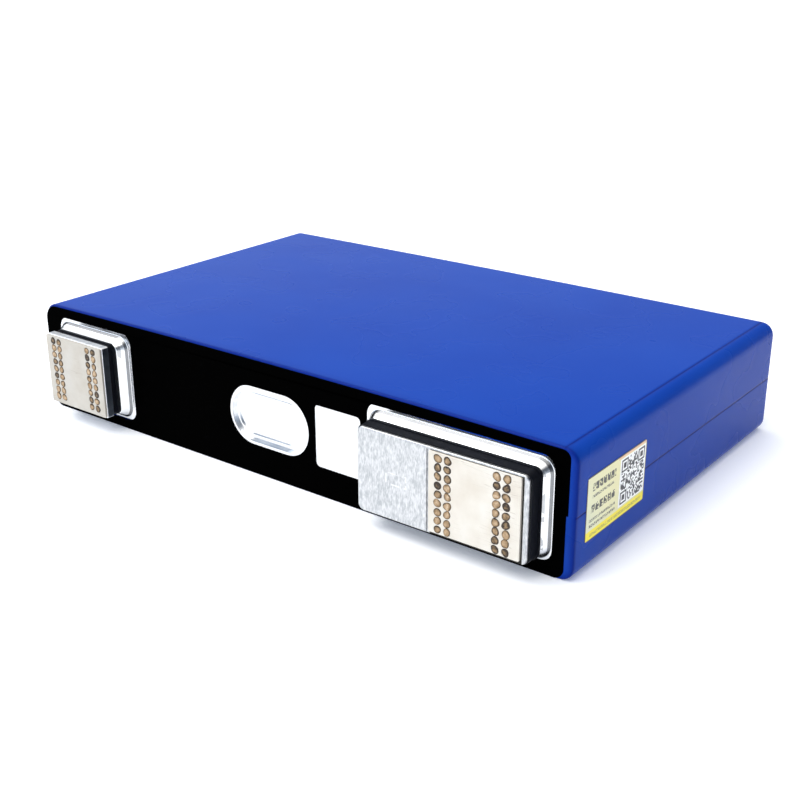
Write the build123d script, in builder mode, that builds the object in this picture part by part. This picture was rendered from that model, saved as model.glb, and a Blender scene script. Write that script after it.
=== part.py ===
"""Prismatic lithium battery cell, lying on one of its two large faces.

X runs along the width of the cell, +Z up through its thickness, and the lid with the
two terminals faces -Y.  The origin is at the middle of the bottom of the bounding box.
Distances called "depth" are measured into the cell from the bare metal face of the lid,
so that a negative depth stands proud of the lid.  Millimetres throughout.
"""

from build123d import *
import os
from math import atan, degrees

os.makedirs("parts", exist_ok=True)

# ---- overall size ----
WIDTH = 148.0
THICKNESS = 26.5
BODY_DEPTH = 91.0          # from the film on the end of the can to the film on the lid
TERMINAL_RISE = 6.4        # from the film on the lid to the faces of the weld plates
CORNER_RADIUS = 3.0        # the four long edges
END_RADIUS = 1.2           # edges round the closed end
MOUTH_RADIUS = 0.5         # edges round the lid

# ---- films, can and lid ----
FILM = 0.12
CAN_WALL = 0.8
CAN_BOTTOM = 1.0
LID_THICKNESS = 2.0
FILM_LEFT_MARGIN = 0.5     # the wrap is turned over the lid this far at the left side,
FILM_RIGHT_MARGIN = 1.6    # this far at the right side,
FILM_LONG_MARGIN = 0.5     # and this far along the large faces

# ---- derived stations along Y ----
Y_TIP = -(BODY_DEPTH + TERMINAL_RISE) / 2
Y_FACE = Y_TIP + TERMINAL_RISE
Y_METAL = Y_FACE + FILM
CAN_DEPTH = BODY_DEPTH - 2 * FILM
CAVITY_DEPTH = CAN_DEPTH - CAN_BOTTOM

# ---- terminals: each stands on an embossed boss of the lid ----
BOSS_RISE = 2.3
BOSS_DRAFT = 1.5           # how far each boss wall leans in over its height
BOSS_CORNER = 3.0
BOSS_EDGE = 0.3            # rounding between the lid and the boss wall, and round its top
CUTOUT_CORNER = 2.6        # corners of the film's cut-outs round the bosses
TRAY_RIM = 0.35            # the right insulator's rim stands this far outside its plate
TRAY_RIM_DROP = 0.7        # and ends this far behind the plate's front face
INSULATOR_THICKNESS = 1.9
BLOCK_THICKNESS = 1.8      # metal under the weld plate
WELD_PLATE_THICKNESS = 0.52
POCKET_DEPTH = 0.3         # the right weld plate is let into its terminal plate
NUGGET_DEPTH = 0.12        # weld nuggets fill the plate's pits, flush with its face
BLOCK_BACK = -(BOSS_RISE + INSULATOR_THICKNESS)
BLOCK_FRONT = BLOCK_BACK - BLOCK_THICKNESS
WELD_FRONT = BLOCK_FRONT - WELD_PLATE_THICKNESS

POST_X = 56.4              # both terminal posts, left and right of the middle
WELD_PLATE_WIDTHS = {"left": 19.4, "right": 20.4}
WELD_PLATE_HEIGHT = 16.9
LEFT_BOSS = (-57.0, -0.15, 24.0, 20.1)      # centre x, centre z, width, height
RIGHT_BOSS = (47.95, 0.1, 42.5, 20.5)
LEFT_CUTOUT = (-56.7, -0.05, 25.4, 21.3)     # in the lid film, round the boss
RIGHT_CUTOUT = (47.7, 0.2, 43.4, 21.4)
LEFT_BLOCK = (-56.9, 19.8, 17.3)
RIGHT_PLATE = (48.15, 39.1, 18.0)
STEP_X = 45.3              # where the weld plate's pocket starts on the right plate
GAP = 0.2                  # between the weld plate and the rim of its pocket

# ---- posts, seals and inner insulators ----
POST_RADIUS = 3.0
SEAL_RADIUS = 4.5
SEAL_FLANGE_RADIUS = 6.0
SEAL_FLANGE = 0.6
LOWER_INSULATOR = 1.0
POST_FLANGE_RADIUS = 6.5
POST_FLANGE = 1.0
COLLECTOR = 0.8
FLANGE_DEPTH = LID_THICKNESS + LOWER_INSULATOR
COLLECTOR_DEPTH = FLANGE_DEPTH + POST_FLANGE
TAB_DEPTH = COLLECTOR_DEPTH + COLLECTOR

# ---- vent, filling hole, safety disc and window in the film ----
VENT = (-1.0, 0.3)
VENT_OUTER = (23.0, 13.3)  # the cut-out in the film
VENT_RIM = 0.7             # bare lid between the cut-out and the recess
VENT_RECESS = 0.9
VENT_DISC = 0.4
VENT_LEDGE = 1.6
FILL_X = -26.0
FILL_RADIUS = 1.25
FILL_CAP_RADIUS = 2.6
FILL_CAP = 0.5
SAFETY_X = 36.6
SAFETY_RADIUS = 5.0
SAFETY_DISC = 0.35
WINDOW = (18.3, 0.25, 12.2, 13.6)   # centre x, centre z, width, height

# ---- winding ----
ROLL_WIDTH = 142.0
ROLL_THICKNESS = 11.6
ROLL_TOP = 11.2
ROLL_END_GAP = 1.2
ROLL_PITCH = 11.8
BAG = 0.15
BAG_GAP = 0.15
BAG_TOP = 7.0
SPACER = 0.5


def at_depth(depth, x=0.0, z=0.0):
    """A plane across the cell at a depth below the lid, facing out of it.

    Its local x is X and its local y is Z, counted from the middle of the thickness.
    """
    origin = (x, Y_METAL + depth, THICKNESS / 2 + z)
    return Plane(origin=origin, x_dir=(1, 0, 0), z_dir=(0, -1, 0))


def save(part, name):
    """Label one finished piece and write it to its own file."""
    part.label = name
    export_step(part, "parts/" + name + ".step")


# ================= can, lid and films =================

# the metal outside of the closed cell, from which both the can and the wrap are cut
with BuildPart() as metal_outside:
    with BuildSketch(at_depth(0)):
        RectangleRounded(WIDTH - 2 * FILM, THICKNESS - 2 * FILM, CORNER_RADIUS - FILM)
    extrude(amount=-CAN_DEPTH)
    fillet(metal_outside.faces().sort_by(Axis.Y)[-1].edges(), END_RADIUS - FILM)
    fillet(metal_outside.faces().sort_by(Axis.Y)[0].edges(), MOUTH_RADIUS - FILM)

INNER_WIDTH = WIDTH - 2 * FILM - 2 * CAN_WALL
INNER_THICKNESS = THICKNESS - 2 * FILM - 2 * CAN_WALL
INNER_CORNER = CORNER_RADIUS - FILM - CAN_WALL

with BuildPart() as can:
    add(metal_outside.part)
    with BuildSketch(at_depth(0)):
        RectangleRounded(INNER_WIDTH, INNER_THICKNESS, INNER_CORNER)
    extrude(amount=-CAVITY_DEPTH, mode=Mode.SUBTRACT)
save(can.part, "can")

with BuildPart() as cap_plate:
    with BuildSketch(at_depth(0)):
        RectangleRounded(INNER_WIDTH, INNER_THICKNESS, INNER_CORNER)
    extrude(amount=-LID_THICKNESS)
    # an embossed boss under each terminal, hollow on the inside
    for centre_x, centre_z, width, height in (LEFT_BOSS, RIGHT_BOSS):
        with BuildSketch(at_depth(0, centre_x, centre_z)):
            RectangleRounded(width, height, BOSS_CORNER)
        extrude(amount=BOSS_RISE, taper=degrees(atan(BOSS_DRAFT / BOSS_RISE)))
    lid_face = cap_plate.faces().filter_by(Axis.Y).sort_by(Axis.Y)[2]
    boss_feet = [edge for wire in lid_face.inner_wires() for edge in wire.edges()]
    fillet(boss_feet, BOSS_EDGE)
    boss_tops = cap_plate.faces().filter_by(Axis.Y).sort_by(Axis.Y)[0:2]
    fillet(boss_tops.edges(), BOSS_EDGE)
    for centre_x, centre_z, width, height in (LEFT_BOSS, RIGHT_BOSS):
        with BuildSketch(at_depth(LID_THICKNESS, centre_x, centre_z)):
            RectangleRounded(width - 5.0, height - 5.0, 1.0)
        extrude(amount=BOSS_RISE, mode=Mode.SUBTRACT)
    # holes for the two posts with their seals
    with BuildSketch(at_depth(LID_THICKNESS)):
        with Locations((-POST_X, 0), (POST_X, 0)):
            Circle(SEAL_RADIUS)
    extrude(amount=LID_THICKNESS + BOSS_RISE, mode=Mode.SUBTRACT)
    # the safety disc's hole under the wide terminal plate
    with BuildSketch(at_depth(LID_THICKNESS, SAFETY_X)):
        Circle(SAFETY_RADIUS - 1.0)
    extrude(amount=LID_THICKNESS + BOSS_RISE, mode=Mode.SUBTRACT)
    # the vent: an outer recess and a smaller opening right through
    with BuildSketch(at_depth(0, *VENT)):
        SlotOverall(VENT_OUTER[0] - 2 * VENT_RIM, VENT_OUTER[1] - 2 * VENT_RIM)
    extrude(amount=-(VENT_RECESS + VENT_DISC), mode=Mode.SUBTRACT)
    with BuildSketch(at_depth(0, *VENT)):
        SlotOverall(VENT_OUTER[0] - 2 * (VENT_RIM + VENT_LEDGE), VENT_OUTER[1] - 2 * (VENT_RIM + VENT_LEDGE))
    extrude(amount=-LID_THICKNESS, mode=Mode.SUBTRACT)
    # the electrolyte filling hole with its counterbore
    with BuildSketch(at_depth(0, FILL_X)):
        Circle(FILL_RADIUS)
    extrude(amount=-LID_THICKNESS, mode=Mode.SUBTRACT)
    with BuildSketch(at_depth(0, FILL_X)):
        Circle(FILL_CAP_RADIUS)
    extrude(amount=-FILL_CAP, mode=Mode.SUBTRACT)
save(cap_plate.part, "cap_plate")

# the vent's burst disc: a thin web inside a thicker rim, with a raised bead between them
with BuildPart() as vent_disc:
    with BuildSketch(at_depth(VENT_RECESS, *VENT)):
        SlotOverall(VENT_OUTER[0] - 2 * VENT_RIM, VENT_OUTER[1] - 2 * VENT_RIM)
    extrude(amount=-VENT_DISC)
    with BuildSketch(at_depth(VENT_RECESS, *VENT)):
        SlotOverall(VENT_OUTER[0] - 3.2, VENT_OUTER[1] - 3.2)
        SlotOverall(VENT_OUTER[0] - 4.0, VENT_OUTER[1] - 4.0, mode=Mode.SUBTRACT)
    extrude(amount=0.18)
    with BuildSketch(at_depth(VENT_RECESS, *VENT)):
        SlotOverall(VENT_OUTER[0] - 4.0, VENT_OUTER[1] - 4.0)
    extrude(amount=-0.15, mode=Mode.SUBTRACT)
save(vent_disc.part, "vent_disc")

with BuildPart() as fill_plug:
    with BuildSketch(at_depth(FILL_CAP, FILL_X)):
        Circle(FILL_RADIUS)
    extrude(amount=-(LID_THICKNESS - FILL_CAP))
save(fill_plug.part, "fill_plug")

with BuildPart() as fill_cap:
    with BuildSketch(at_depth(0, FILL_X)):
        Circle(FILL_CAP_RADIUS)
    extrude(amount=-FILL_CAP)
save(fill_cap.part, "fill_cap")

FACE_X = (FILM_LEFT_MARGIN - FILM_RIGHT_MARGIN) / 2
FACE_WIDTH = WIDTH - FILM_LEFT_MARGIN - FILM_RIGHT_MARGIN
FACE_HEIGHT = THICKNESS - 2 * FILM_LONG_MARGIN

# the black film on the lid, with cut-outs round both bosses, the vent and a window
with BuildPart() as lid_film:
    with BuildSketch(at_depth(0)):
        with Locations((FACE_X, 0)):
            RectangleRounded(FACE_WIDTH, FACE_HEIGHT, CORNER_RADIUS - FILM_LONG_MARGIN)
        for centre_x, centre_z, width, height in (LEFT_CUTOUT, RIGHT_CUTOUT):
            with Locations((centre_x, centre_z)):
                RectangleRounded(width, height, CUTOUT_CORNER, mode=Mode.SUBTRACT)
        with Locations(VENT):
            SlotOverall(*VENT_OUTER, mode=Mode.SUBTRACT)
        with Locations(WINDOW[0:2]):
            RectangleRounded(WINDOW[2], WINDOW[3], 1.0, mode=Mode.SUBTRACT)
    extrude(amount=FILM)
save(lid_film.part, "lid_film")

# the blue wrap: a skin on the can, open round the lid film
with BuildPart() as wrap_film:
    with BuildSketch(at_depth(-FILM)):
        RectangleRounded(WIDTH, THICKNESS, CORNER_RADIUS)
    extrude(amount=-BODY_DEPTH)
    fillet(wrap_film.faces().sort_by(Axis.Y)[-1].edges(), END_RADIUS)
    fillet(wrap_film.faces().sort_by(Axis.Y)[0].edges(), MOUTH_RADIUS)
    add(metal_outside.part, mode=Mode.SUBTRACT)
    with BuildSketch(at_depth(0, FACE_X)):
        RectangleRounded(FACE_WIDTH, FACE_HEIGHT, CORNER_RADIUS - FILM_LONG_MARGIN)
    extrude(amount=FILM, mode=Mode.SUBTRACT)
save(wrap_film.part, "wrap_film")

# the rating label on the right narrow side
LABEL = (23.2, 13.1, 0.08)           # along Y, along Z, thickness
LABEL_CENTRE = (-27.0, 13.3)         # Y, Z
with BuildPart() as side_label:
    with BuildSketch(Plane.YZ.offset(WIDTH / 2)):
        with Locations(LABEL_CENTRE):
            RectangleRounded(LABEL[0], LABEL[1], 0.8)
    extrude(amount=LABEL[2])
save(side_label.part, "side_label")


# ================= terminals =================

def post_hole(depth, x, radius, length):
    """Cut a round hole outwards from a depth, in the part being built."""
    with BuildSketch(at_depth(depth, x)) as outline:
        Circle(radius)
    extrude(outline.sketch, amount=length, mode=Mode.SUBTRACT)


INSULATOR_FLANGE = 0.8
PLATE_CORNER = 1.3

# black plastic between the left block and its boss: a flange with a smaller body on it
with BuildPart() as insulator_left:
    centre_x, width, height = LEFT_BLOCK
    with BuildSketch(at_depth(-BOSS_RISE, centre_x)):
        RectangleRounded(width + 0.3, height + 0.1, PLATE_CORNER)
    extrude(amount=INSULATOR_FLANGE)
    with BuildSketch(at_depth(-BOSS_RISE - INSULATOR_FLANGE, centre_x)):
        RectangleRounded(width - 0.3, height - 0.3, 1.1)
    extrude(amount=INSULATOR_THICKNESS - INSULATOR_FLANGE)
    post_hole(-BOSS_RISE, -POST_X, POST_RADIUS, INSULATOR_THICKNESS)
save(insulator_left.part, "insulator_left")

# on the right it is a tray, whose rim covers most of the sides of the wide plate
RIM_HEIGHT = BLOCK_THICKNESS + POCKET_DEPTH - TRAY_RIM_DROP
with BuildPart() as insulator_right:
    centre_x, width, height = RIGHT_PLATE
    with BuildSketch(at_depth(-BOSS_RISE, centre_x)):
        RectangleRounded(width + 2 * TRAY_RIM + 0.3, height + 2 * TRAY_RIM, PLATE_CORNER + TRAY_RIM)
    extrude(amount=INSULATOR_FLANGE)
    with BuildSketch(at_depth(-BOSS_RISE - INSULATOR_FLANGE, centre_x)):
        RectangleRounded(width + 2 * TRAY_RIM, height + 2 * TRAY_RIM - 0.3, PLATE_CORNER + TRAY_RIM)
    extrude(amount=INSULATOR_THICKNESS - INSULATOR_FLANGE + RIM_HEIGHT)
    with BuildSketch(at_depth(BLOCK_BACK, centre_x)):
        RectangleRounded(width, height, PLATE_CORNER)
    extrude(amount=RIM_HEIGHT, mode=Mode.SUBTRACT)
    post_hole(-BOSS_RISE, POST_X, POST_RADIUS, INSULATOR_THICKNESS)
    post_hole(-BOSS_RISE, SAFETY_X, SAFETY_RADIUS - 1.0, INSULATOR_THICKNESS)
save(insulator_right.part, "insulator_right")

with BuildPart() as terminal_block_left:
    with BuildSketch(at_depth(BLOCK_BACK, LEFT_BLOCK[0])):
        RectangleRounded(LEFT_BLOCK[1], LEFT_BLOCK[2], 0.6)
    extrude(amount=BLOCK_THICKNESS)
    fillet(terminal_block_left.faces().sort_by(Axis.Y)[0].edges(), 0.15)
    post_hole(BLOCK_BACK, -POST_X, POST_RADIUS, BLOCK_THICKNESS)
save(terminal_block_left.part, "terminal_block_left")

POCKET_END = RIGHT_PLATE[0] + RIGHT_PLATE[1] / 2 - 0.8
with BuildPart() as terminal_plate_right:
    with BuildSketch(at_depth(BLOCK_BACK, RIGHT_PLATE[0])):
        RectangleRounded(RIGHT_PLATE[1], RIGHT_PLATE[2], PLATE_CORNER)
    extrude(amount=BLOCK_THICKNESS + POCKET_DEPTH)
    fillet(terminal_plate_right.faces().sort_by(Axis.Y)[0].edges(), 0.3)
    # the weld plate's pocket, open at the bottom edge
    with BuildSketch(at_depth(BLOCK_FRONT)):
        with Locations(((STEP_X + POCKET_END) / 2, -0.6)):
            Rectangle(POCKET_END - STEP_X, WELD_PLATE_HEIGHT + 2 * GAP + 1.2)
    extrude(amount=POCKET_DEPTH, mode=Mode.SUBTRACT)
    post_hole(BLOCK_BACK, POST_X, POST_RADIUS, BLOCK_THICKNESS)
save(terminal_plate_right.part, "terminal_plate_right")

WELD_PLATE_X = {"left": LEFT_BLOCK[0], "right": (STEP_X + POCKET_END) / 2}

# the spots where a busbar was welded on: four columns of nine on each plate
NUGGET_RADIUS = 0.82
NUGGET_ROWS = 9
NUGGETS = {                                   # columns x, centre z, pitch
    "left": ((-64.0, -62.0, -51.9, -49.8), 0.3, 1.74),
    "right": ((48.1, 50.3, 61.1, 63.3), -0.1, 1.84),
}


def weld_spots(side):
    """The outlines of all the spots on one weld plate, on its face."""
    columns, centre_z, pitch = NUGGETS[side]
    with BuildSketch(at_depth(WELD_FRONT)) as spots:
        for column in columns:
            with Locations((column, centre_z)):
                with GridLocations(1, pitch, 1, NUGGET_ROWS):
                    Circle(NUGGET_RADIUS)
    return spots.sketch


for side in ("left", "right"):
    spot_outlines = weld_spots(side)
    with BuildPart() as weld_plate:
        with BuildSketch(at_depth(BLOCK_FRONT, WELD_PLATE_X[side])):
            RectangleRounded(WELD_PLATE_WIDTHS[side], WELD_PLATE_HEIGHT, 0.35)
        extrude(amount=WELD_PLATE_THICKNESS)
        fillet(weld_plate.faces().sort_by(Axis.Y)[0].edges(), 0.1)
        extrude(spot_outlines, amount=-NUGGET_DEPTH, mode=Mode.SUBTRACT)
    save(weld_plate.part, "weld_plate_" + side)
    with BuildPart() as weld_nuggets:
        extrude(spot_outlines, amount=-NUGGET_DEPTH)
    save(weld_nuggets.part, "weld_nuggets_" + side)

for side, post_x in (("left", -POST_X), ("right", POST_X)):
    # the post: a shaft riveted into the terminal and a flange under the lid
    with BuildPart() as post:
        with BuildSketch(at_depth(FLANGE_DEPTH, post_x)):
            Circle(POST_RADIUS)
        extrude(amount=FLANGE_DEPTH - BLOCK_FRONT)
        with BuildSketch(at_depth(COLLECTOR_DEPTH, post_x)):
            Circle(POST_FLANGE_RADIUS)
        extrude(amount=POST_FLANGE)
    save(post.part, "post_" + side)

    # the rubber seal: a sleeve in the lid's hole with a flange under the lid
    with BuildPart() as seal:
        with BuildSketch(at_depth(FLANGE_DEPTH, post_x)):
            Circle(SEAL_RADIUS)
        extrude(amount=FLANGE_DEPTH + BOSS_RISE)
        with BuildSketch(at_depth(FLANGE_DEPTH, post_x)):
            Circle(SEAL_FLANGE_RADIUS)
        extrude(amount=SEAL_FLANGE)
        post_hole(FLANGE_DEPTH, post_x, POST_RADIUS, FLANGE_DEPTH + BOSS_RISE)
    save(seal.part, "seal_" + side)

# the disc that would bulge against the wide plate if the cell were overcharged
with BuildPart() as safety_disc:
    with BuildSketch(at_depth(LID_THICKNESS - BOSS_RISE, SAFETY_X)):
        Circle(SAFETY_RADIUS)
    extrude(amount=-SAFETY_DISC)
    with BuildSketch(at_depth(LID_THICKNESS - BOSS_RISE + SAFETY_DISC, SAFETY_X)):
        Circle(SAFETY_RADIUS - 2.0)
    extrude(amount=-0.5)
save(safety_disc.part, "safety_disc")


# ================= inside the can =================

def lower_insulator(boss, post_x):
    """Plastic plate under the lid, with a block on it that fills the hollow boss."""
    centre_x, centre_z, width, height = boss
    with BuildPart() as plate:
        with BuildSketch(at_depth(LID_THICKNESS, centre_x, centre_z)):
            RectangleRounded(width - 5.4, height - 5.4, 0.8)
        extrude(amount=BOSS_RISE)
        with BuildSketch(at_depth(LID_THICKNESS, centre_x)):
            RectangleRounded(width + 2.0, 21.0, 1.0)
        extrude(amount=-LOWER_INSULATOR)
        post_hole(FLANGE_DEPTH, post_x, SEAL_RADIUS, FLANGE_DEPTH + BOSS_RISE)
        post_hole(FLANGE_DEPTH, post_x, SEAL_FLANGE_RADIUS, SEAL_FLANGE)
        if post_x > 0:
            post_hole(FLANGE_DEPTH, SAFETY_X, SAFETY_RADIUS + 0.4, FLANGE_DEPTH + BOSS_RISE)
    return plate.part


save(lower_insulator(LEFT_BOSS, -POST_X), "lower_insulator_left")
save(lower_insulator(RIGHT_BOSS, POST_X), "lower_insulator_right")

# the current collectors, and the stacks of foil tabs folded from them to both rolls
COLLECTORS = {"left": (-50.0, 34.0), "right": (46.0, 42.0)}      # centre x, width
for side, (centre, width) in COLLECTORS.items():
    with BuildPart() as collector:
        with BuildSketch(at_depth(COLLECTOR_DEPTH, centre)):
            RectangleRounded(width, 18.0, 1.5)
        extrude(amount=-COLLECTOR)
    save(collector.part, "collector_" + side)

    tab_thickness = 0.5
    flat = Y_METAL + TAB_DEPTH + tab_thickness / 2
    roll_top = Y_METAL + ROLL_TOP
    middle = THICKNESS / 2
    half = ROLL_PITCH / 2
    with BuildPart() as tabs:
        with BuildSketch(Plane.YZ.offset(centre - width / 2 + 2.0)):
            with BuildLine():
                Polyline((roll_top, middle - half), (flat + 1.5, middle - half - 1.5), (flat, middle - half))
                Polyline((flat, middle - half), (flat, middle + half))
                Polyline((flat, middle + half), (flat + 1.5, middle + half + 1.5), (roll_top, middle + half))
            trace(line_width=tab_thickness)
            # trimmed flush with the tops of the rolls
            with Locations((roll_top + 1.0, middle)):
                Rectangle(2.0, THICKNESS, mode=Mode.SUBTRACT)
        extrude(amount=width - 4.0)
    save(tabs.part, "tabs_" + side)

# two wound electrode rolls, one above the other
ROLL_HEIGHT = CAVITY_DEPTH - ROLL_TOP - ROLL_END_GAP - BAG - SPACER
for roll_name, offset_z in (("roll_lower", -ROLL_PITCH / 2), ("roll_upper", ROLL_PITCH / 2)):
    with BuildPart() as roll:
        with BuildSketch(at_depth(ROLL_TOP, 0, offset_z)):
            SlotOverall(ROLL_WIDTH, ROLL_THICKNESS)
        extrude(amount=-ROLL_HEIGHT)
    save(roll.part, roll_name)

BAG_WIDTH = INNER_WIDTH - 2 * BAG_GAP
BAG_THICKNESS = INNER_THICKNESS - 2 * BAG_GAP
BAG_END = CAVITY_DEPTH - BAG_GAP
with BuildPart() as insulation_bag:
    with BuildSketch(at_depth(BAG_TOP)):
        RectangleRounded(BAG_WIDTH, BAG_THICKNESS, INNER_CORNER - BAG_GAP)
    extrude(amount=-(BAG_END - BAG_TOP))
    with BuildSketch(at_depth(BAG_TOP)):
        RectangleRounded(BAG_WIDTH - 2 * BAG, BAG_THICKNESS - 2 * BAG, INNER_CORNER - BAG_GAP - BAG)
    extrude(amount=-(BAG_END - BAG_TOP - BAG), mode=Mode.SUBTRACT)
save(insulation_bag.part, "insulation_bag")

# the spacer that keeps the rolls off the end of the can
with BuildPart() as end_spacer:
    with BuildSketch(at_depth(BAG_END - BAG)):
        RectangleRounded(BAG_WIDTH - 4.0, BAG_THICKNESS - 2.0, 2.0)
    extrude(amount=SPACER)
save(end_spacer.part, "end_spacer")

# the slotted guard that keeps the rolls away from the vent
with BuildPart() as vent_guard:
    with BuildSketch(at_depth(LID_THICKNESS, *VENT)):
        RectangleRounded(28.0, 20.0, 1.5)
        with GridLocations(6.0, 1.0, 4, 1):
            SlotOverall(12.0, 2.4, rotation=90, mode=Mode.SUBTRACT)
    extrude(amount=-LOWER_INSULATOR)
save(vent_guard.part, "vent_guard")
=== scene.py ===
"""Looks of the prismatic battery cell: wrap, lid film, metal, weld spots and label.

The CAD nodes of the metal and plastic parts stay and get their finishes here.  The wrap, the lid
film and the weld nuggets are new surfaces, worked out in millimetres and written in metres.
"""
import math

import bpy
import numpy as np
from mathutils import Matrix, Vector


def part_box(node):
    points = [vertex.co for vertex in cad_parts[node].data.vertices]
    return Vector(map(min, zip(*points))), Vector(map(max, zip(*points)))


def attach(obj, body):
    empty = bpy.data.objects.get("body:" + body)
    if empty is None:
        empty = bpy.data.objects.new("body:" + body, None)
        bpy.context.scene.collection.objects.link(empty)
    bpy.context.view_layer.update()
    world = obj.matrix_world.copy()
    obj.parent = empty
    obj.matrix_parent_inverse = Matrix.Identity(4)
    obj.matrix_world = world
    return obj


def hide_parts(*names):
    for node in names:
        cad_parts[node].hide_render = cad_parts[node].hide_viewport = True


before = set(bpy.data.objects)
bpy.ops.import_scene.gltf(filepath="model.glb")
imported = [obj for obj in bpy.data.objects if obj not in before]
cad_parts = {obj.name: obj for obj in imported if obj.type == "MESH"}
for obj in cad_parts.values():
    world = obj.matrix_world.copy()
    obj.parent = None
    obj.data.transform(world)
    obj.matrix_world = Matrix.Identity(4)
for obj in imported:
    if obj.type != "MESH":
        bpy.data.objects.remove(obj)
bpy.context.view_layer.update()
MM = 0.001


def box_mm(node):
    """Lowest and highest corner of a CAD node, in millimetres."""
    low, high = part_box(node)
    return np.array(low) / MM, np.array(high) / MM


WRAP_LOW, WRAP_HIGH = box_mm("wrap_film")
HALF_WIDTH = WRAP_HIGH[0]
THICKNESS = WRAP_HIGH[2]
MIDDLE = THICKNESS / 2
Y_FACE, Y_END = WRAP_LOW[1], WRAP_HIGH[1]
Y_TIP = box_mm("weld_plate_left")[0][1]
LONG_EDGE = 3.0            # radius of the four long edges
MOUTH_EDGE = 0.5           # radius round the lid
END_EDGE = 1.2             # radius round the closed end
SEAM_HEIGHT = 13.3         # where the wrap's two halves lap on the narrow sides
CROWN_AT_LID = 0.62        # how far the top rises in the middle of the width, at the lid
CROWN_LOSS = 0.36          # how much less it rises at the closed end
LAP_WIDTH, LAP_DEPTH = 0.16, 0.08              # groove where the wrap's halves meet
CREASE_WIDTH, CREASE_DEPTH = 0.22, 0.09        # groove beside the right upper edge
LID_FILM = 0.1             # thickness of the lid's film and of the wrap


# ================= camera, light and floor =================

CAMERA_ANGLES = (37.37, 21.65, 0.15)           # turn, tilt downward and roll, in degrees
CAMERA_PLACE = (167.24, -216.17, 113.73)       # in millimetres
CAMERA_LENS = 54.8                             # on a sensor 36 wide


def place_camera():
    """In front of the lid, to its right and above it, looking down at the cell."""
    azimuth, elevation, roll = (math.radians(angle) for angle in CAMERA_ANGLES)
    place = Vector(CAMERA_PLACE) * MM
    level = math.cos(elevation)
    forward = Vector((-math.sin(azimuth) * level, math.cos(azimuth) * level, -math.sin(elevation)))
    right = Vector((math.cos(azimuth), math.sin(azimuth), 0.0))
    up = right.cross(forward)
    turned_right = math.cos(roll) * right - math.sin(roll) * up
    turned_up = math.sin(roll) * right + math.cos(roll) * up
    camera = bpy.data.objects.new("camera", bpy.data.cameras.new("camera"))
    bpy.context.scene.collection.objects.link(camera)
    turn = Matrix((turned_right, turned_up, -forward)).transposed().to_4x4()
    camera.matrix_world = Matrix.Translation(place) @ turn
    camera.data.sensor_width = 36.0
    camera.data.lens = CAMERA_LENS
    camera.data.clip_start = 0.01
    camera.data.clip_end = 30.0
    bpy.context.scene.camera = camera


def light_box(name, place, aim, size, power, colour):
    """A rectangular soft light at place, facing the aim point."""
    lamp = bpy.data.lights.new(name, "AREA")
    lamp.shape = "RECTANGLE"
    lamp.size, lamp.size_y = size
    lamp.energy = power
    lamp.color = colour
    box = bpy.data.objects.new(name, lamp)
    box.location = place
    box.rotation_euler = (Vector(aim) - Vector(place)).to_track_quat("-Z", "Y").to_euler()
    bpy.context.scene.collection.objects.link(box)


ROOM_STRENGTH = 1.44
# a part added to the strength where a direction leans fully along an axis: axis, lean, part
ROOM_LEANS = (("X", 0.8, -0.8), ("X", -0.9, 0.9), ("Y", -0.9, 1.6))
# colour of the room at heights from the horizon, 0, to straight overhead, 1
ROOM_LIGHT = (
    (0.05, (0.40, 0.45, 0.52)),
    (0.22, (0.34, 0.385, 0.45)),
    (0.38, (0.13, 0.15, 0.18)),
    (0.62, (0.10, 0.11, 0.13)),
    (0.80, (1.0, 0.99, 0.97)),
)


def set_room():
    """A room that is soft at the horizon, dim above it and bright overhead.

    It is dimmer to the right of the cell and brighter to its left and in front of it."""
    world = bpy.data.worlds.new("room")
    bpy.context.scene.world = world
    world.use_nodes = True
    tree = world.node_tree
    where = tree.nodes.new("ShaderNodeTexCoord")
    split = tree.nodes.new("ShaderNodeSeparateXYZ")
    ramp = tree.nodes.new("ShaderNodeValToRGB")
    tree.links.new(where.outputs["Generated"], split.inputs[0])
    tree.links.new(split.outputs["Z"], ramp.inputs["Fac"])
    tree.links.new(ramp.outputs["Color"], tree.nodes["Background"].inputs["Color"])
    shares = []
    for axis, far, part in ROOM_LEANS:
        share = tree.nodes.new("ShaderNodeMapRange")
        tree.links.new(split.outputs[axis], share.inputs["Value"])
        share.inputs["From Min"].default_value = 0.0
        share.inputs["From Max"].default_value = far
        share.inputs["To Min"].default_value = 0.0
        share.inputs["To Max"].default_value = part
        shares.append(share)
    total = shares[0]
    for share in shares[1:]:
        both = tree.nodes.new("ShaderNodeMath")
        both.operation = "ADD"
        tree.links.new(total.outputs[0], both.inputs[0])
        tree.links.new(share.outputs[0], both.inputs[1])
        total = both
    scaled = tree.nodes.new("ShaderNodeMath")
    scaled.operation = "MULTIPLY_ADD"
    tree.links.new(total.outputs[0], scaled.inputs[0])
    scaled.inputs[1].default_value = ROOM_STRENGTH
    scaled.inputs[2].default_value = ROOM_STRENGTH
    tree.links.new(scaled.outputs[0], tree.nodes["Background"].inputs["Strength"])
    stops = ramp.color_ramp.elements
    while len(stops) < len(ROOM_LIGHT):
        stops.new(0.5)
    for stop, (height, colour) in zip(stops, ROOM_LIGHT):
        stop.position = height
        stop.color = (*colour, 1.0)


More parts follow.
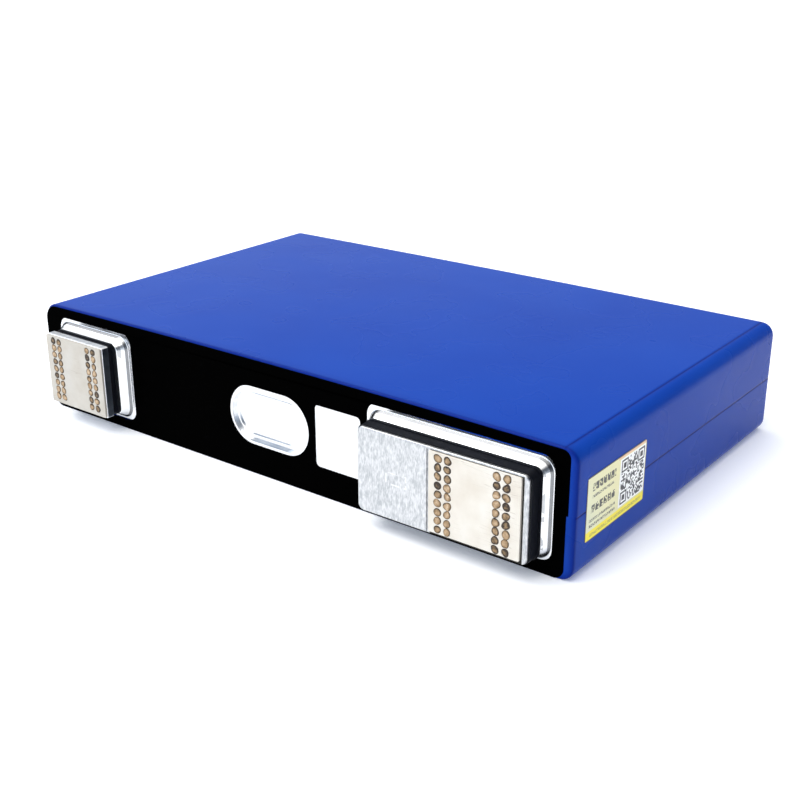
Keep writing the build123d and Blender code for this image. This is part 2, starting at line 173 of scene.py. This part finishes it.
def lay_floor():
    """A wide matt white floor, lit a little from within so that the shadows on it stay pale."""
    half = 6.0                                 # metres from the middle to a side
    mesh = bpy.data.meshes.new("floor")
    corners = [(-half, -half, 0), (half, -half, 0), (half, half, 0), (-half, half, 0)]
    mesh.from_pydata(corners, [], [(0, 1, 2, 3)])
    floor = bpy.data.objects.new("floor", mesh)
    bpy.context.scene.collection.objects.link(floor)
    paint = bpy.data.materials.new("floor_paint")
    paint.use_nodes = True
    shader = paint.node_tree.nodes["Principled BSDF"]
    shader.inputs["Base Color"].default_value = (0.93, 0.94, 0.96, 1.0)
    shader.inputs["Roughness"].default_value = 0.9
    shader.inputs["Specular IOR Level"].default_value = 0.0
    shader.inputs["Emission Color"].default_value = (0.80, 0.87, 1.0, 1.0)
    shader.inputs["Emission Strength"].default_value = 0.20
    mesh.materials.append(paint)


# ================= finishes =================

class Number:
    """A shader value that plain arithmetic can be written with; every step makes one Math node."""

    def __init__(self, finish, socket):
        self.finish = finish
        self.socket = socket

    def step(self, operation, *others):
        node = self.finish.node("Math", operation=operation)
        for place, value in enumerate((self, *others)):
            if isinstance(value, Number):
                self.finish.feed(value.socket, node.inputs[place])
            else:
                node.inputs[place].default_value = value
        return Number(self.finish, node.outputs[0])

    def __add__(self, other):
        return self.step("ADD", other)

    def __sub__(self, other):
        return self.step("SUBTRACT", other)

    def __mul__(self, other):
        return self.step("MULTIPLY", other)

    def above(self, other):
        return self.step("GREATER_THAN", other)

    def below(self, other):
        return self.step("LESS_THAN", other)

    def between(self, low, high):
        return self.above(low) * self.below(high)

    def distance(self, other):
        return (self - other).step("ABSOLUTE")

    def either(self, other):
        return self.step("MAXIMUM", other)

    def rounded_down(self):
        return self.step("FLOOR")


class Finish:
    """One material, with short calls for the nodes that its look is put together from."""

    def __init__(self, name, **values):
        self.material = bpy.data.materials.new(name)
        self.material.use_nodes = True
        self.tree = self.material.node_tree
        self.shader = self.tree.nodes["Principled BSDF"]
        for key, value in values.items():
            socket = self.shader.inputs[key.replace("_", " ")]
            socket.default_value = (*value, 1.0) if isinstance(value, tuple) else value

    def node(self, kind, **values):
        made = self.tree.nodes.new("ShaderNode" + kind)
        for key, value in values.items():
            setattr(made, key, value)
        return made

    def feed(self, source, target):
        self.tree.links.new(source, target)

    def place(self, stretch, turn=(0.0, 0.0, 0.0)):
        """Object coordinates, stretched along each axis and turned."""
        mapping = self.node("Mapping", vector_type="POINT")
        mapping.inputs["Scale"].default_value = stretch
        mapping.inputs["Rotation"].default_value = turn
        self.feed(self.node("TexCoord").outputs["Object"], mapping.inputs["Vector"])
        return mapping.outputs["Vector"]

    def axes(self):
        """The three object coordinates in millimetres."""
        split = self.node("SeparateXYZ")
        self.feed(self.place((1 / MM, 1 / MM, 1 / MM)), split.inputs[0])
        return [Number(self, split.outputs[axis]) for axis in "XYZ"]

    def noise(self, scale, detail=3.0, stretch=(1.0, 1.0, 1.0), turn=(0.0, 0.0, 0.0)):
        """Cloudy noise; a stretch below one on an axis draws it out along that axis."""
        made = self.node("TexNoise")
        made.inputs["Scale"].default_value = scale
        made.inputs["Detail"].default_value = detail
        self.feed(self.place(stretch, turn), made.inputs["Vector"])
        return Number(self, made.outputs["Fac"])

    def attribute(self, name):
        """A value stored on the mesh's own vertices."""
        made = self.node("Attribute", attribute_name=name)
        return Number(self, made.outputs["Fac"])

    def ramp(self, value, *stops):
        """Colours along a value; each stop is a position and a colour or grey."""
        made = self.node("ValToRGB")
        elements = made.color_ramp.elements
        while len(elements) < len(stops):
            elements.new(0.5)
        for element, (position, colour) in zip(elements, stops):
            element.position = position
            shade = colour if isinstance(colour, tuple) else (colour, colour, colour)
            element.color = (*shade, 1.0)
        self.feed(value.socket, made.inputs["Fac"])
        return made.outputs["Color"]

    def mix(self, share, first, second):
        """Colour first, turned into second where share is 1."""
        made = self.node("Mix", data_type="RGBA")
        sockets = (made.inputs[0], made.inputs[6], made.inputs[7])   # factor and the two colours
        for socket, value in zip(sockets, (share, first, second)):
            if isinstance(value, Number):
                self.feed(value.socket, socket)
            elif isinstance(value, bpy.types.NodeSocket):
                self.feed(value, socket)
            elif isinstance(value, tuple):
                socket.default_value = (*value, 1.0)
            else:
                socket.default_value = value
        return made.outputs[2]

    def colour(self, source):
        self.feed(source, self.shader.inputs["Base Color"])

    def roughness(self, value, low, high):
        """Roughness from low to high as a value goes from 0.3 to 0.7."""
        self.feed(self.ramp(value, (0.3, low), (0.7, high)), self.shader.inputs["Roughness"])

    def bumps(self, *layers):
        """Bump layers on each other; each is a value and its height in millimetres."""
        normal = None
        for value, height in layers:
            made = self.node("Bump")
            made.inputs["Distance"].default_value = height * MM
            self.feed(value.socket, made.inputs["Height"])
            if normal is not None:
                self.feed(normal, made.inputs["Normal"])
            normal = made.outputs["Normal"]
        self.feed(normal, self.shader.inputs["Normal"])


def blue_film_finish():
    """Glossy blue shrink film with faint ripples, and painted shade in its grooves and round the
    mouth.
    """
    f = Finish("blue_film", Specular_IOR_Level=0.045)
    cloud = f.noise(35.0, 2.0)
    film = f.ramp(cloud, (0.3, (0.0050, 0.045, 0.335)), (0.7, (0.0062, 0.052, 0.360)))
    # painted shade: the blue turns darker by the edge value that shape_wrap stores, in the grooves
    # and round the mouth
    f.colour(f.mix(f.attribute("edge"), film, (0.0004, 0.006, 0.13)))
    f.roughness(f.noise(60.0, 2.0), 0.26, 0.30)
    f.bumps((f.noise(40.0, 0.0), 0.01))
    return f.material


def black_film_finish():
    """Matt black lid film with a very fine grain and a few dust specks."""
    f = Finish("black_film", Specular_IOR_Level=0.002)
    grain = f.noise(2600.0, 4.0)
    speck = f.noise(900.0, 1.0).above(0.79)
    f.colour(f.mix(speck, f.ramp(grain, (0.3, 0.0001), (0.7, 0.0004)), (0.002, 0.002, 0.003)))
    f.roughness(grain, 0.5, 0.65)
    f.bumps((grain, 0.004))
    return f.material


def aluminium_finish(name, wave):
    """Bright rolled aluminium: fine grain along the lid, and pressed areas that waver."""
    f = Finish(name, Metallic=1.0)
    x, y, z = f.axes()
    grain = f.noise(900.0, 3.0, (0.08, 1.0, 1.0))
    cloud = f.noise(150.0, 3.0)
    sheet = f.ramp(grain, (0.3, (0.74, 0.755, 0.78)), (0.7, (0.86, 0.865, 0.87)))
    # painted reflection: the crease where each boss leaves the lid is darkened as if it mirrored the
    # black film, and patches just behind the boss tops, under the terminals, as if they mirrored the
    # black insulators
    lid_face = float(Y_FACE) + LID_FILM
    boss_top = float(box_mm("cap_plate")[0][1])
    crease = y.between(lid_face - 0.66, lid_face - 0.05)
    insulator_reflection = y.between(boss_top + 0.12, boss_top + 0.9) * cloud.above(0.53)
    painted_reflection = (crease * 0.75).either(insulator_reflection * 0.45)
    f.colour(f.mix(painted_reflection, sheet, (0.05, 0.055, 0.065)))
    f.roughness(f.noise(300.0, 3.0), 0.14, 0.26)
    f.bumps((f.noise(140.0, 2.0), wave), (grain, 0.003))
    return f.material


def brushed_plate_finish():
    """The wide terminal plate: brushed across, with a faint pressed outline near its middle."""
    f = Finish("brushed_plate", Metallic=1.0)
    x, y, z = f.axes()
    strokes = f.noise(5200.0, 3.0, (1.0, 0.3, 0.22))
    blots = f.noise(1700.0, 4.0, (1.0, 1.0, 0.5))
    tone = strokes * 0.55 + blots * 0.45
    metal = f.ramp(tone, (0.40, (0.38, 0.395, 0.41)), (0.5, (0.51, 0.52, 0.53)),
                   (0.6, (0.63, 0.635, 0.64)))
    # outline of a rectangle: the larger of the two distances past its sides, near zero
    centre_x, half_x = 38.1, 2.4
    centre_z, half_z = 13.1, 1.2
    reach = (x.distance(centre_x) - half_x).either(z.distance(centre_z) - half_z)
    line = reach.distance(0.0).below(0.17)
    faint = line * f.noise(500.0, 2.0).above(0.44)
    plate_front = float(box_mm("terminal_plate_right")[0][1])
    # painted shade: a dark line in the pocket that the weld plate lies in
    pocket_shade = y.between(plate_front + 0.22, plate_front + 0.38) * x.between(46.0, 66.62)
    soiled = f.mix(faint * 0.4, metal, (0.90, 0.90, 0.91))
    f.colour(f.mix(pocket_shade, soiled, (0.03, 0.028, 0.025)))
    f.roughness(tone, 0.28, 0.46)
    f.bumps((strokes, 0.006), (blots, 0.005), (faint, 0.02))
    return f.material


def block_finish():
    """Machined sides of the terminal block: satin, with fine milling lines, and painted shade on the
    faces turned to the right.
    """
    f = Finish("machined_block", Metallic=1.0)
    lines = f.noise(1500.0, 3.0, (1.0, 0.1, 1.0))
    metal = f.ramp(lines, (0.3, (0.74, 0.77, 0.82)), (0.7, (0.93, 0.94, 0.96)))
    # painted shade: faces turned to the right are coloured dark blue-grey, standing in for the dark
    # film they mirror and the light they lack
    facing = f.node("SeparateXYZ")
    f.feed(f.node("NewGeometry").outputs["Normal"], facing.inputs[0])
    right_side_shade = Number(f, facing.outputs["X"]).above(0.8)
    f.colour(f.mix(right_side_shade * 0.9, metal, (0.035, 0.055, 0.085)))
    f.roughness(lines, 0.34, 0.5)
    f.bumps((lines, 0.008))
    return f.material


def weld_plate_finish(side, light):
    """Warm grey nickel-plated face, mottled, with thin scratches; light scales its colours."""
    f = Finish("weld_plate_" + side, Metallic=0.3, Specular_IOR_Level=0.3)
    mottle = f.noise(160.0, 4.0)
    tints = ((0.3, (0.80, 0.73, 0.63)), (0.55, (0.88, 0.83, 0.74)), (0.75, (0.92, 0.885, 0.82)))
    face = f.ramp(mottle, *((stop, tuple(part * light for part in tint)) for stop, tint in tints))
    long_marks = f.noise(900.0, 2.0, (0.05, 1.0, 1.0), (0.0, 0.6, 0.0))
    scratch = long_marks.distance(0.5).below(0.006) * f.noise(120.0, 1.0).above(0.56)
    f.colour(f.mix(scratch * 0.4, face, (0.35, 0.30, 0.25)))
    f.roughness(f.noise(700.0, 3.0), 0.42, 0.6)
    f.bumps((f.noise(250.0, 3.0), 0.01), (f.noise(2400.0, 3.0), 0.003))
    return f.material


def nugget_finish():
    """Weld nuggets: tan middles, brown heat tint and burnt rims, each with its own strength."""
    f = Finish("weld_nugget", Metallic=0.45, Specular_IOR_Level=0.4)
    across = f.attribute("across")
    burn = f.attribute("burn")
    fleck = f.noise(1600.0, 4.0)
    blot = f.noise(700.0, 2.0)
    tone = across * 0.46 + fleck * 0.66 + blot * 0.45 + burn * 0.38
    f.colour(f.ramp(tone, (0.46, (0.54, 0.42, 0.29)), (0.62, (0.38, 0.26, 0.15)),
                    (0.84, (0.20, 0.13, 0.065)), (1.0, (0.04, 0.028, 0.02))))
    f.roughness(fleck, 0.35, 0.6)
    f.bumps((fleck, 0.03), (f.noise(5000.0, 3.0), 0.006))
    return f.material


def plastic_finish(name, tint, rough):
    """Moulded plastic with a fine spark-eroded grain."""
    f = Finish(name, Specular_IOR_Level=0.14)
    grain = f.noise(1500.0, 4.0)
    lighter = tuple(1.7 * part + 0.001 for part in tint)
    f.colour(f.ramp(grain, (0.3, tint), (0.7, lighter)))
    f.roughness(f.noise(400.0, 3.0), rough - 0.06, rough + 0.08)
    f.bumps((grain, 0.012), (f.noise(300.0, 2.0), 0.02))
    return f.material


def sheet_metal_finish(name, dark, light, rough):
    """Plain rolled metal for the can and the parts inside it."""
    f = Finish(name, Metallic=1.0)
    grain = f.noise(1100.0, 3.0, (1.0, 0.12, 1.0))
    f.colour(f.ramp(grain, (0.3, dark), (0.7, light)))
    f.roughness(grain, rough - 0.06, rough + 0.08)
    f.bumps((grain, 0.005))
    return f.material


def winding_finish():
    """The wound rolls, wrapped in a pale separator with thin turns showing at their ends."""
    f = Finish("separator_winding", Specular_IOR_Level=0.3)
    turns = f.axes()[2].step("PINGPONG", 0.25) * 4.0
    f.colour(f.ramp(turns, (0.2, (0.60, 0.61, 0.60)), (0.6, (0.78, 0.79, 0.78)),
                    (0.9, (0.30, 0.24, 0.20))))
    f.roughness(f.noise(500.0, 3.0), 0.5, 0.65)
    f.bumps((turns, 0.02))
    return f.material


def label_finish():
    """A pale label: rows of small marks, a panel of random squares and a yellow foot strip.

    across runs from 0 at the front to 1 at the back, up from 0 at the bottom to 1 at the top.
    Marks are cells of a grid that are filled where the random value of the cell is low.
    They spell nothing: each cell is filled or left by chance."""
    f = Finish("rating_label", Specular_IOR_Level=0.5)
    low, high = box_mm("side_label")
    x, y, z = f.axes()
    across = (y - float(low[1])) * float(1 / (high[1] - low[1]))
    up = (z - float(low[2])) * float(1 / (high[2] - low[2]))

    def cells(columns, rows, seed, filled):
        """Random squares on a grid of columns and rows."""
        corner = f.node("CombineXYZ")
        f.feed((across * columns).rounded_down().socket, corner.inputs["X"])
        f.feed((up * rows).rounded_down().socket, corner.inputs["Y"])
        corner.inputs["Z"].default_value = seed
        chance = f.node("TexWhiteNoise", noise_dimensions="3D")
        f.feed(corner.outputs[0], chance.inputs["Vector"])
        return Number(f, chance.outputs["Value"]).below(filled)

    def marks(left, right, bottom, top, columns, seed, filled):
        """One row of marks: five cells high, with a gap after every fourth cell."""
        row = across.between(left, right) * up.between(bottom, top)
        letters = (across * (columns / 4)).step("FRACT").above(0.18)
        return row * letters * cells(columns, 5.0 / (top - bottom), seed, filled)

    shade = f.noise(130.0, 2.0)
    paper = f.ramp(shade, (0.3, (0.68, 0.68, 0.38)), (0.7, (0.84, 0.81, 0.50)))
    pale = f.ramp(across + up * 0.35, (0.1, (0.80, 0.84, 0.66)), (0.45, (0.88, 0.84, 0.50)),
                  (0.9, (0.88, 0.80, 0.40)))
    ground = f.mix(0.6, paper, pale)
    ink = marks(0.09, 0.47, 0.75, 0.87, 64.0, 3.0, 0.80)
    ink = ink.either(marks(0.09, 0.44, 0.645, 0.69, 150.0, 5.0, 0.66))
    ink = ink.either(marks(0.07, 0.47, 0.42, 0.54, 60.0, 8.0, 0.72))
    ink = ink.either(marks(0.05, 0.48, 0.285, 0.33, 150.0, 11.0, 0.66))
    ink = ink.either(marks(0.05, 0.48, 0.20, 0.245, 150.0, 14.0, 0.66))
    panel = across.between(0.54, 0.985) * up.between(0.175, 0.94)
    # the panel's squares are 25 by 25 cells of a grid that covers the whole label
    columns, lines = 62.0, 35.0
    field = across.between(35 / columns, 60 / columns) * up.between(7 / lines, 32 / lines)
    squares = field * cells(columns, lines, 21.0, 0.5)
    # a ring with a dot in it at three corners of the panel
    for column, line in ((38.5, 28.5), (56.5, 28.5), (38.5, 10.5)):
        away = (across * columns).distance(column).either((up * lines).distance(line))
        squares = squares * away.above(4.0)
        squares = squares.either(away.between(2.5, 3.5)).either(away.below(1.5))
    foot = up.below(0.15)
    foot_marks = marks(0.07, 0.95, 0.05, 0.105, 170.0, 31.0, 0.7)
    edge_line = across.above(0.5) * up.above(0.955)
    look = f.mix(panel, ground, (0.97, 0.97, 0.95))
    look = f.mix(foot, look, (1.0, 0.84, 0.01))
    look = f.mix(foot_marks * 0.7, look, (0.25, 0.22, 0.05))
    look = f.mix(edge_line * 0.7, look, (0.85, 0.42, 0.30))
    look = f.mix(ink * 0.96, look, (0.015, 0.015, 0.012))
    # painted shadow: a thin dark outline round the label's edge
    inner = across.between(0.008, 0.992) * up.between(0.014, 0.986)
    look = f.mix(inner, (0.10, 0.09, 0.06), look)
    f.colour(f.mix(squares, look, (0.004, 0.004, 0.004)))
    f.roughness(shade, 0.3, 0.4)
    f.bumps((f.noise(300.0, 2.0), 0.01))
    return f.material


# ================= surfaces =================

def new_piece(name, points, faces, material, replaced):
    """A smooth mesh piece from points in millimetres; it rides on the cell and replaces nodes."""
    mesh = bpy.data.meshes.new(name)
    mesh.from_pydata((points * MM).tolist(), [], faces)
    mesh.polygons.foreach_set("use_smooth", np.ones(len(mesh.polygons), bool))
    mesh.materials.append(material)
    piece = bpy.data.objects.new(name, mesh)
    bpy.context.scene.collection.objects.link(piece)
    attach(piece, "root")
    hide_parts(*replaced)
    return piece


def store(piece, name, values):
    """Keep one value per vertex on the mesh, for its material."""
    layer = piece.data.attributes.new(name, "FLOAT", "POINT")
    layer.data.foreach_set("value", np.asarray(values, np.float32).ravel())


def swell(x, y, z):
    """Height of a point after the cell has swollen a little.

    The upper half is stretched upward by a crown that is highest in the middle of the width,
    falls off with the square of the distance from it, and gets lower toward the closed end."""
    along = (y - Y_FACE) / (Y_END - Y_FACE)
    crown = (CROWN_AT_LID - CROWN_LOSS * along) * (1 - (x / HALF_WIDTH) ** 2)
    return z + crown * np.clip((z - MIDDLE) / MIDDLE, 0, 1)


def rounded_loop(inset, radius, shares):
    """Points of a rounded rectangle, counter-clockwise seen from the lid's side.

    inset is the distance inside the cell's outline.  Each share in 0..8 names a place on the loop:
    0-1 the right side going up, 1-2 its upper corner, 2-3 the top going left, and so on round."""
    half_x, half_z = HALF_WIDTH - inset, MIDDLE - inset
    part = np.minimum(shares.astype(int), 7)
    t = shares - part
    flat_x, flat_z = half_x - radius, half_z - radius
    turn = np.pi / 2 * (part // 2 + np.where(part % 2 == 1, t, 0))
    centre_x = flat_x * np.array([1, 1, -1, -1, -1, -1, 1, 1])[part]
    centre_z = flat_z * np.array([1, 1, 1, 1, -1, -1, -1, -1])[part]
    slide = np.where(part % 2 == 0, t, 0)
    start_x = flat_x * np.array([1, 1, 1, -1, -1, -1, -1, 1])[part]
    start_z = flat_z * np.array([-1, 1, 1, 1, 1, -1, -1, -1])[part]
    end_x = np.where(part == 2, -flat_x, np.where(part == 6, flat_x, centre_x))
    end_z = np.where(part == 0, flat_z, np.where(part == 4, -flat_z, centre_z))
    straight = part % 2 == 0
    x = np.where(straight, start_x + (end_x - start_x) * slide, centre_x) + radius * np.cos(turn)
    z = np.where(straight, start_z + (end_z - start_z) * slide, centre_z) + radius * np.sin(turn)
    return x, z + MIDDLE


def dip(distance, width):
    """A narrow smooth groove: one at its middle, falling off like a bell over the width."""
    return np.exp(-(distance / width) ** 2)


def shape_wrap(material):
    """The blue wrap: a loop round the cell, carried along the body and over the closed end.

    Each station has an inset and a depth from the lid.  The loop there is a rounded rectangle,
    shrunk by the inset.
    Grooves follow the lap on both narrow sides and the crease along the right upper edge."""
    turn = np.linspace(0, np.pi / 2, 7)
    length = Y_END - Y_FACE
    mouth = [(MOUTH_EDGE * (1 - math.sin(a)), MOUTH_EDGE * (1 - math.cos(a))) for a in turn]
    body = [(0.0, v) for v in np.linspace(1.0, length - 2.0, 46)]
    end = [(END_EDGE * (1 - math.cos(a)), length - END_EDGE * (1 - math.sin(a))) for a in turn]
    cap = [(v, length) for v in np.linspace(2.0, MIDDLE - 0.05, 18)]
    stations = np.array([(2.6, 0.0), (1.2, 0.0), *mouth, *body, *end, *cap])
    # steps are closest at the lap in the middle of the narrow sides and at the long runs' ends
    narrow = np.sinh(np.linspace(-4, 4, 29)) / np.sinh(4) / 2 + 0.5
    near_end = np.linspace(0, 0.02, 9)
    long_run = np.unique(np.concatenate((np.linspace(0, 1, 41), 1 - near_end, near_end)))
    corner = np.linspace(0, 1, 13)
    parts = (narrow, corner, long_run, corner) * 2
    shares = np.concatenate([part[:-1] + number for number, part in enumerate(parts)])
    inset, depth = stations[:, :1], stations[:, 1:]
    radius = np.maximum(LONG_EDGE - inset, 0.04)
    x, z = rounded_loop(inset, radius, np.broadcast_to(shares, (len(stations), len(shares))))
    y = Y_FACE + np.broadcast_to(depth, x.shape)
    on_body = np.clip(depth / 1.5, 0, 1) * np.clip((length - depth) / 1.5, 0, 1)
    lap = dip(z - SEAM_HEIGHT, LAP_WIDTH) * (np.abs(x) > HALF_WIDTH - 0.5)
    crease = dip(x - (HALF_WIDTH - LONG_EDGE + 0.1), CREASE_WIDTH) * (z > THICKNESS - 0.5)
    x = x - np.sign(x) * LAP_DEPTH * lap * on_body
    z = z - CREASE_DEPTH * crease * on_body
    # the lower half of the film reaches a little further over the mouth than the upper half
    y = y - 0.12 * (z < SEAM_HEIGHT) * (x > HALF_WIDTH - 1.2) * dip(depth, 0.8)
    # painted shade: the film's colour is darkened in both grooves and round the mouth
    rim = dip(depth, 0.75) * np.clip(1 - inset / 2, 0, 1)
    dark = np.clip(1.8 * lap * on_body + 1.1 * crease * on_body + 0.85 * rim, 0, 1)
    points = np.stack((x, y, swell(x, y, z)), axis=-1).reshape(-1, 3)
    rows, columns = x.shape
    index = np.arange(rows * columns).reshape(rows, columns)
    after = np.roll(index, -1, axis=1)
    quads = np.stack((index[:-1], after[:-1], after[1:], index[1:]), axis=-1).reshape(-1, 4)
    faces = quads[:, ::-1].tolist() + [index[-1, ::-1].tolist()]
    piece = new_piece("blue_wrap", points, faces, material, ["wrap_film"])
    store(piece, "edge", dark)
    return piece


def slot_outline(centre, width, height, count=24):
    """An obround: two half circles joined by straight runs."""
    r = height / 2
    a = np.linspace(-np.pi / 2, np.pi / 2, count)
    right = np.stack((centre[0] + width / 2 - r + r * np.cos(a), centre[1] + r * np.sin(a)), -1)
    left = np.stack((centre[0] - width / 2 + r - r * np.cos(a), centre[1] - r * np.sin(a)), -1)
    return np.concatenate((right, left))


def box_outline(left, right, bottom, top, radii, run=48):
    """A rectangle with its own radius at each corner.

    The radii are in the order lower right, upper right, upper left, lower left.  The top run is
    divided, so that it can follow the swollen edge."""
    corners = ((right, bottom, -1, 1), (right, top, -1, -1),
               (left, top, 1, -1), (left, bottom, 1, 1))
    outline = []
    for number, ((x, z, inward_x, inward_z), r) in enumerate(zip(corners, radii)):
        a = np.linspace(-np.pi / 2, 0, 9) + number * np.pi / 2
        arc = (x + inward_x * r + r * np.cos(a), z + inward_z * r + r * np.sin(a))
        outline.append(np.stack(arc, -1))
        if number == 1:
            span = np.linspace(right - r, left + radii[2], run)[1:-1]
            outline.append(np.stack((span, np.full(run - 2, float(top))), -1))
    return np.concatenate(outline)


def shape_lid_film(material):
    """The black lid film: a flat outline with its cut-outs, filled and given a thickness."""
    film_high = box_mm("lid_film")[1]
    vent_low, vent_high = box_mm("vent_disc")
    vent_centre = ((vent_low[0] + vent_high[0]) / 2, (vent_low[2] + vent_high[2]) / 2)
    edge = film_high[0] + 0.05
    outer = box_outline(-HALF_WIDTH - 0.2, edge, 0.12, film_high[2] + 0.14, (2.2, 1.7, 3.6, 2.6))
    # below the lap the wrap covers a little more of the film's right edge
    cover = 0.4
    low_right = (outer[:, 0] > edge - 3.0) & (outer[:, 1] < SEAM_HEIGHT)
    outer[low_right, 0] -= cover
    turn = np.flatnonzero(low_right)[-1] + 1
    step = [[edge - cover, SEAM_HEIGHT], [edge, SEAM_HEIGHT + 0.1]]
    outer = np.insert(outer, turn, step, axis=0)
    # after the outer edge come the cut-outs round the left boss, the right boss, the bare window
    # and the vent
    outlines = [
        outer,
        box_outline(-69.4, -44.0, 2.55, 23.85, (2.6,) * 4),
        box_outline(26.0, 69.4, 2.75, 24.15, (2.6,) * 4),
        box_outline(12.2, 24.4, 6.7, 20.3, (1.0,) * 4),
        slot_outline(vent_centre, 23.0, 13.3),
    ]
    curve = bpy.data.curves.new("lid_film_outline", "CURVE")
    curve.dimensions = "2D"
    curve.fill_mode = "BOTH"
    curve.extrude = 0.07 * MM
    for outline in outlines:
        line = curve.splines.new("POLY")
        line.points.add(len(outline) - 1)
        flat = np.zeros((len(outline), 4))
        flat[:, :2] = outline * MM
        flat[:, 3] = 1.0
        line.points.foreach_set("co", flat.ravel())
        line.use_cyclic_u = True
    holder = bpy.data.objects.new("lid_film_outline", curve)
    bpy.context.scene.collection.objects.link(holder)
    bpy.context.view_layer.update()
    filled = holder.evaluated_get(bpy.context.evaluated_depsgraph_get())
    flat_mesh = bpy.data.meshes.new_from_object(filled)
    spots = np.zeros(len(flat_mesh.vertices) * 3, np.float32)
    flat_mesh.vertices.foreach_get("co", spots)
    across, up, out = spots.astype(float).reshape(-1, 3).T / MM
    faces = [tuple(polygon.vertices) for polygon in flat_mesh.polygons]
    bpy.data.objects.remove(holder)
    y = Y_FACE + 0.02 - out
    points = np.stack((across, y, swell(across, y, up)), -1)
    piece = new_piece("black_lid_film", points, faces, material, ["lid_film"])
    piece.data.polygons.foreach_set("use_smooth", np.zeros(len(faces), bool))
    return piece


def shape_nuggets(side, columns, centre, pitch, radius, material, random):
    """Weld nuggets on one plate: nine rows of small ragged domes, each with a ridge round its middle.

    Every nugget is a polar grid.  Its outline is a circle changed by waves of one, two, three and
    five turns.  Its height over the plate is a ridge at about three quarters of the radius, round a
    lower middle.  All of it is scattered a little by random draws."""
    rows, sectors = 9, 16
    rings = np.array([0.0, 0.25, 0.5, 0.72, 0.88, 1.0, 1.0])
    height = np.array([0.05, 0.05, 0.05, 0.09, 0.06, 0.012, -0.1])
    row_heights = centre + pitch * (np.arange(rows) - (rows - 1) / 2)
    centre_x, centre_z = np.meshgrid(columns, row_heights, indexing="ij")
    count = centre_x.size
    turn = np.linspace(0, 2 * np.pi, sectors, endpoint=False)
    waves = np.zeros((count, sectors))
    for order, strength in ((1, 0.06), (2, 0.13), (3, 0.10), (5, 0.04)):
        size = strength * random.random((count, 1))
        waves += size * np.cos(order * turn + 6.28 * random.random((count, 1)))
    reach = radius * (0.95 + 0.14 * random.random((count, 1))) * (1 + waves)
    across = rings[None, :, None]
    ragged = 1 + 0.5 * (random.random((count, len(rings), sectors)) - 0.5)
    rise = height[None, :, None] * np.where(height[None, :, None] > 0, ragged, 1.0)
    rise = rise * (0.6 + 0.9 * random.random((count, 1, 1)))
    rise[:, 0] = rise[:, 0].mean(axis=1, keepdims=True)
    shift = 0.10 * (random.random((2, count, 1, 1)) - 0.5)
    x = centre_x.reshape(-1, 1, 1) + shift[0] + across * reach[:, None, :] * np.cos(turn)
    z = centre_z.reshape(-1, 1, 1) + shift[1] + across * reach[:, None, :] * np.sin(turn) * 1.04
    y = Y_TIP - rise
    points = np.stack((x, y, z), -1).reshape(-1, 3)
    first = np.arange(count).reshape(-1, 1, 1) * len(rings) * sectors
    index = first + np.arange(len(rings) * sectors).reshape(1, len(rings), sectors)
    after = np.roll(index, -1, axis=2)
    quads = np.stack((index[:, :-1], after[:, :-1], after[:, 1:], index[:, 1:]), axis=-1)
    quads = quads[:, 1:].reshape(-1, 4)[:, ::-1]
    middles = index[:, 1].tolist()
    backs = index[:, -1, ::-1].tolist()
    faces = quads.tolist() + middles + backs
    name = "weld_nuggets_on_" + side
    piece = new_piece(name, points, faces, material, ["weld_nuggets_" + side])
    store(piece, "across", np.broadcast_to(across ** 3, x.shape))
    burn = random.random((count, 1, 1)) ** 2
    store(piece, "burn", np.broadcast_to(burn, x.shape))
    return piece


def dress(material, *nodes):
    """Give CAD nodes a finish."""
    for name in nodes:
        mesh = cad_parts[name].data
        mesh.materials.clear()
        mesh.materials.append(material)


# ================= the scene =================

place_camera()
set_room()
lay_floor()
light_box("front_softbox", (-0.25, -0.8, 1.25), (0.0, -0.05, 0.0), (1.3, 0.9), 10.0,
          (1.0, 0.985, 0.96))
light_box("left_softbox", (-1.15, 0.0, 1.2), (0.0, 0.0, 0.0), (0.9, 1.3), 6.0, (1.0, 1.0, 1.0))
bpy.context.scene.view_settings.view_transform = "Standard"

shape_wrap(blue_film_finish())
shape_lid_film(black_film_finish())
nugget = nugget_finish()
draws = np.random.default_rng(7)
shape_nuggets("left", (-64.0, -62.0, -51.9, -49.8), 13.55, 1.74, 0.78, nugget, draws)
shape_nuggets("right", (48.1, 50.3, 61.1, 63.3), 13.15, 1.84, 0.84, nugget, draws)

dress(aluminium_finish("lid_aluminium", 0.05), "cap_plate", "fill_cap")
dress(aluminium_finish("vent_foil", 0.03), "vent_disc")
dress(brushed_plate_finish(), "terminal_plate_right")
dress(block_finish(), "terminal_block_left")
dress(weld_plate_finish("left", 0.55), "weld_plate_left")
dress(weld_plate_finish("right", 0.73), "weld_plate_right")
dress(plastic_finish("black_plastic", (0.0022, 0.0028, 0.0050), 0.42),
      "insulator_left", "insulator_right")
dress(label_finish(), "side_label")
dress(sheet_metal_finish("can_aluminium", (0.72, 0.73, 0.75), (0.86, 0.87, 0.88), 0.34),
      "can", "fill_plug", "safety_disc", "post_right", "collector_right", "tabs_right")
dress(sheet_metal_finish("copper_foil", (0.72, 0.36, 0.22), (0.90, 0.50, 0.33), 0.32),
      "post_left", "collector_left", "tabs_left")
dress(plastic_finish("seal_rubber", (0.010, 0.010, 0.011), 0.6), "seal_left", "seal_right")
dress(plastic_finish("white_plastic", (0.62, 0.63, 0.62), 0.45),
      "lower_insulator_left", "lower_insulator_right", "insulation_bag", "end_spacer", "vent_guard")
dress(winding_finish(), "roll_lower", "roll_upper")
